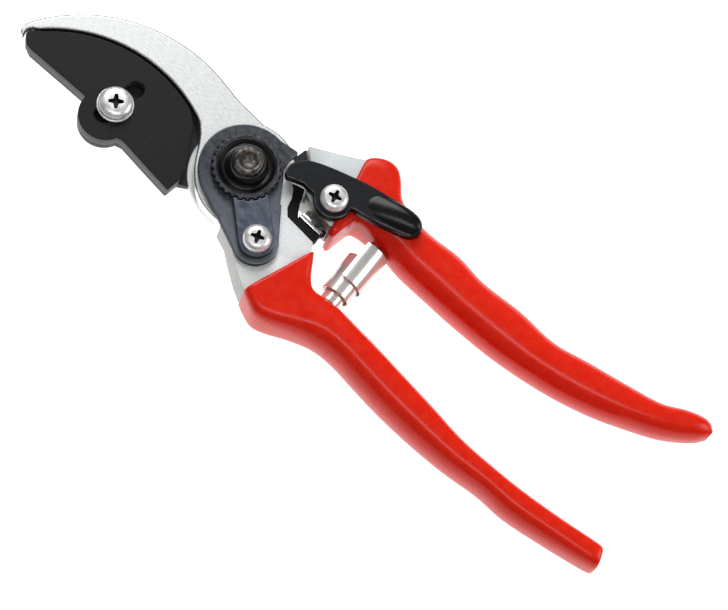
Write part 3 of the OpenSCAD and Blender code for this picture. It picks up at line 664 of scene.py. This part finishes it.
def wound_strip(name, turns, first_angle, first_radius, last_radius, steps_at, per_turn=72):
    """The strip, wound inward. It climbs along the axis once a turn, where steps_at says."""
    verts, faces = [], []
    count = int(turns * per_turn)
    travel = (spring_high.y - spring_low.y) - strip_wide
    soft = 0.12 * MM
    far, inner = strip_wide, strip_thick
    section = [(0, soft), (0, far - soft), (soft, far), (inner - soft, far),
               (inner, far - soft), (inner, soft), (inner - soft, 0), (soft, 0)]
    for i in range(count + 1):
        turned_by = turns * i / count
        climb, shrink = 0, 0
        for at, rise, narrowing in steps_at:
            share = min(1, max(0, (turned_by - at) / 0.3))
            share = share * share * (3 - 2 * share)
            climb += share * rise
            shrink += share * narrowing
        r = first_radius - (first_radius - last_radius) * (0.25 * turned_by / turns + 0.75 * shrink)
        y = spring_low.y + travel * climb
        angle = first_angle + 2 * math.pi * turned_by
        for dr, dy in section:
            q = r - dr
            verts.append((axis_x + q * math.cos(angle), y + dy, axis_z + q * math.sin(angle)))
    for i in range(count):
        for k in range(8):
            a, b = i * 8 + k, i * 8 + (k + 1) % 8
            faces.append((a, a + 8, b + 8, b))
    faces.append(tuple(range(8)))
    faces.append(tuple(count * 8 + k for k in range(7, -1, -1)))
    return shaped(name, verts, faces, 30)


spring = wound_strip("volute_spring_strip", 3.1, math.radians(70), 5.25 * MM, 2.9 * MM,
                     ((0.45, 0.6, 0.45), (1.45, 0.4, 0.55)))
spring.data.materials.append(polished_strip)
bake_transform(spring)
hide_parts("volute_spring")

# ---------- Upper forging ----------
# The second light-alloy lever. Its boss turns on the bolt behind the lower one, and its flat
# front carries the thumb catch.

# Painted shade: the same alloy as the lower forging, coloured darker.
upper_alloy_painted_shade = finish("upper_alloy_painted_shade", srgb(190, 195, 196), srgb(216, 221, 221), (0.5, 0.62), metallic=0.75,
                    marks=(2600, 2600, 2600), relief=0.02, detail=2)
upper_forging = dress(break_edges("upper_handle", 0.35), upper_alloy_painted_shade)
# Painted shade on the forging's upright walls.
paint_light_on_walls(upper_forging, alloy_wall_shade_paint)

# ---------- Upper grip ----------
# The longer grip, cast the same way. A horn keeps the hand off the jaws, an arch bridges the
# spring's end, and the butt is round and swept back.

upper_ribs = [
    (-27.6, -0.1, -22.8, -24, 0, 9), (-29.2, -0.5, -25.2, -26.1, 0, 9),
    (-30, -3.7, -28.2, -27.4, 0, 8), (-31, -7.3, -31.2, -27.1, 0, 7),
    (-33.4, -8.1, -33.8, -25, 0, 6), (-37, -7.7, -37.2, -21.3, 0, 4),
    (-42, -7, -41.8, -20.2, 0, 2.6), (-49, -5.5, -48.5, -18.9, 0, 2.5),
    (-58, -4.6, -58.5, -18.9, 0, 2.5), (-68, -3.8, -68, -17.2, 0, 2.5),
    (-80, -3.3, -80, -17.2, 0.2, 2.5), (-91, -3.8, -92, -16, 0.5, 2.5),
    (-101.5, -5, -103, -17.7, 0.8, 2.5), (-112, -7.3, -114.5, -19.3, 1, 2.5),
    (-121.5, -10.5, -124.5, -21, 1.3, 2.5), (-129.5, -13.6, -131.2, -24.1, 1.7, 2.5),
    (-136, -17.6, -136.6, -25.5, 2.6, 2.4), (-139.9, -20.9, -139.9, -24.4, 4, 2.2),
]
upper_grip = grip_skin("upper_grip_skin", [(r[2], r[3], r[0], r[1], r[4], r[5]) for r in upper_ribs],
                       half_depth, 0.8, 0.9)
dress(upper_grip, red_plastic, "upper_lever", "grip_red", "upper_grip")

# ---------- Cutting blade ----------
# Thin hardened steel behind the hook, coated black, with a round root screwed to the boss.
# Round the pivot the coating is ground off, so the root shows bright.

coated = finish("coated_blade", srgb(34, 35, 37), srgb(50, 52, 55), (0.4, 0.55), metallic=0.5,
                marks=(1500, 1500, 1500), relief=0.01)
blade_outline = [eased(loop, 0.5 * MM) for loop in face_loops("cutting_blade", back_of("cutting_blade"))]
blade = plate("cutting_blade_ground", blade_outline,
              round_edges(back_of("cutting_blade"), top_of("cutting_blade"), 0.1 * MM, 0.08 * MM, 2))
dress(blade, coated, "upper_lever", "coated_blade", "cutting_blade")
bright_root_r = 14.75 * MM
nodes, links = coated.node_tree.nodes, coated.node_tree.links
skin = nodes["Principled BSDF"]
from_pivot = nodes.new("ShaderNodeVectorMath")
from_pivot.operation = "MULTIPLY"
from_pivot.inputs[1].default_value = (1, 1, 0)
reach_out = nodes.new("ShaderNodeVectorMath")
reach_out.operation = "LENGTH"
ground_off = nodes.new("ShaderNodeMapRange")
ground_off.inputs["From Min"].default_value = bright_root_r + 0.15 * MM
ground_off.inputs["From Max"].default_value = bright_root_r - 0.15 * MM
to_steel = nodes.new("ShaderNodeMix")
to_steel.data_type = "RGBA"
to_steel.inputs["B"].default_value = srgb(236, 237, 237)
links.new(nodes["Texture Coordinate"].outputs["Object"], from_pivot.inputs[0])
links.new(from_pivot.outputs[0], reach_out.inputs[0])
links.new(reach_out.outputs["Value"], ground_off.inputs["Value"])
links.new(ground_off.outputs["Result"], to_steel.inputs["Factor"])
links.new(nodes["Color Ramp"].outputs["Color"], to_steel.inputs["A"])
links.new(to_steel.outputs["Result"], skin.inputs["Base Color"])
dress(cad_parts["blade_screws"], plain_steel)

# ---------- Pivot bush ----------
# A plain bronze sleeve in the boss of the upper lever and the blade's root, bored to run on
# the bolt's shank.

bronze = finish("bush_bronze", srgb(150, 108, 56), srgb(186, 142, 84), (0.25, 0.4),
                marks=(400, 400, 2500), relief=0.004)
dress(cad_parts["pivot_bush"], bronze)

# ---------- Stop pad ----------
# A bright steel bar on a foot by the upper forging's wall, with painted shade down its sides. It meets the
# rubber buffer as the levers close.

pad_steel = finish("polished_stop_bar", srgb(200, 200, 197), srgb(238, 238, 235), (0.15, 0.3),
                   marks=(1800, 300, 600), turn=-10, relief=0.004)
stop_bar = dress(break_edges("stop_pad", 0.2), pad_steel)
# Painted shade: the bar's walls take the black rubber colour.
paint_light_on_walls(stop_bar, rubber_and_pad_shade)

# ---------- Hold plate ----------
# A thick black plate in front of the blade. It grips the cut stem against the hook, and
# slides on its slot to suit the stem.

plate_black = finish("satin_black_plate", srgb(14, 15, 17), srgb(26, 28, 30), (0.42, 0.56), metallic=0,
                     marks=(900, 900, 900), relief=0.01, specular=0.25)
# Painted light: the plate's upright walls are grey, lighter than its black face, as lit sides.
hold_wall_light_paint = finish("hold_plate_wall_painted_light", srgb(56, 56, 55), srgb(98, 98, 96), (0.4, 0.6), metallic=0.6,
                      marks=(2600, 2600, 500), relief=0.03)
hold_outline = [eased(loop, 0.5 * MM) for loop in face_loops("hold_plate", top_of("hold_plate"))]
hold_plate = plate("hold_plate_black", hold_outline,
                   round_edges(back_of("hold_plate"), top_of("hold_plate"), 0.2 * MM, 0.22 * MM, 3))
dress(hold_plate, plate_black, "hold_slide", "black_plate", "hold_plate")
paint_light_on_walls(hold_plate, hold_wall_light_paint, lambda n: abs(n.z) < 0.5)

# ---------- Hold screw, washer and nut ----------
# A bright pan-head screw through the slot clamps the hold plate over a thin washer, with a
# hexagon nut behind the blade.

dress(break_edges("hold_washer", 0.12), bright_plate)
hold_screw = pan_screw("hold_screw_head", "hold_screw", 4.6 * MM, 2.3 * MM, 2.1 * MM, 35, 2 * MM)
mount(hold_screw, "upper_lever", "bright_screw", "hold_screw")
dress(break_edges("hold_nut", 0.2), plain_steel)

# ---------- Thumb catch ----------
# A black catch on a shouldered screw. Its flat nose hooks over the lock plate's ear to keep
# the shears shut, and its raised tail is pushed with the thumb.

catch_black = finish("satin_black_catch", srgb(12, 15, 19), srgb(24, 28, 33), (0.36, 0.5), metallic=0,
                     marks=(1400, 1400, 1400), relief=0.012, specular=0.25)
# Painted shade on the catch's upright walls, painted highlight on its bevels facing +Y.
catch_wall_shade_paint = finish("catch_wall_painted_shade", srgb(5, 5, 6), srgb(12, 12, 13), (0.5, 0.7), metallic=0,
                    marks=(900, 900, 900), relief=0.01, specular=0.15)
catch_bevel_highlight_paint = finish("catch_bevel_painted_highlight", srgb(90, 94, 98), srgb(150, 154, 158), (0.3, 0.45), metallic=0.6,
                    marks=(700, 700, 700), relief=0.006)
gloss_black = finish("gloss_black_tail", srgb(6, 6, 8), srgb(14, 15, 18), (0.2, 0.3), metallic=0,
                     marks=(900, 900, 900), relief=0.004, specular=0.3)
catch_thick = 2.9 * MM
catch_top = back_of("thumb_catch") + catch_thick
catch_outline = [eased(loop, 0.5 * MM) for loop in face_loops("thumb_catch", back_of("thumb_catch"))]
catch = plate("thumb_catch_plate", catch_outline,
              round_edges(back_of("thumb_catch"), catch_top, 0.25 * MM, 0.4 * MM))
dress(catch, catch_black, "catch_lever", "catch_black", "thumb_catch")
paint_light_on_walls(catch, catch_wall_shade_paint)
paint_light_on_walls(catch, catch_bevel_highlight_paint, lambda n: n.y > 0.1 and 0.3 < n.z < 0.95)

# The thumb rest: ribs across the tail from the screw to the tip. Each holds its upper edge,
# its lower edge and what its crown adds to the usual rise, in millimetres.
crown_rise = 2.5
tail_ribs = [
    (-30.4, -16.7, -27.4, -8.6, -0.3), (-32.0, -17.0, -29.2, -8.3, 0.15), (-33.8, -17.3, -31.6, -8.6, 0.6),
    (-36.2, -17.6, -34.8, -9.1, 1.1), (-38.8, -18.0, -38.1, -9.8, 1.5), (-41.8, -18.1, -40.9, -10.5, 1.7),
    (-44.3, -17.7, -43.6, -11.2, 1.6), (-46.0, -16.5, -45.7, -12.2, 1.0), (-46.9, -15.2, -46.8, -13.7, -0.4),
]
tail_foot = back_of("thumb_catch") + 0.25 * MM
verts, faces = [], []
across = 20
rows = curve_through(tail_ribs, 6)
for row in rows:
    upper, lower = Vector(row[0:2]), Vector(row[2:4])
    for k in range(across + 1):
        t = math.pi * k / across
        lean = 0.5 + 0.5 * math.cos(t) + 0.14 * math.sin(t) ** 2
        p = lower + (upper - lower) * lean
        lift = crown_rise + row[4]
        verts.append((p.x * MM, p.y * MM, tail_foot + lift * MM * math.sin(t) ** 0.6))
    verts.append((lower.x * MM, lower.y * MM, tail_foot - 0.2 * MM))
    verts.append((upper.x * MM, upper.y * MM, tail_foot - 0.2 * MM))
n = across + 3
for i in range(len(rows) - 1):
    for k in range(n):
        a, b = i * n + k, i * n + (k + 1) % n
        faces.append((a, b, b + n, a + n))
faces.append(tuple(range(n - 1, -1, -1)))
faces.append(tuple((len(rows) - 1) * n + k for k in range(n)))
thumb_rest = shaped("thumb_catch_rest", verts, faces, 50)
dress(thumb_rest, gloss_black, "catch_lever", "catch_black")

# ---------- Catch screw and its rings ----------
# A bright pan-head screw with a smooth shoulder. A washer and a thin spring ring stand the
# catch off the forging.

catch_screw = pan_screw("catch_screw_head", "catch_screw", 3.8 * MM, 2.2 * MM, 1.9 * MM, 10, 2.6 * MM)
mount(catch_screw, "upper_lever", "bright_screw", "catch_screw")
for ring in ("catch_washer", "catch_spring"):
    dress(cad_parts[ring], plain_steel)
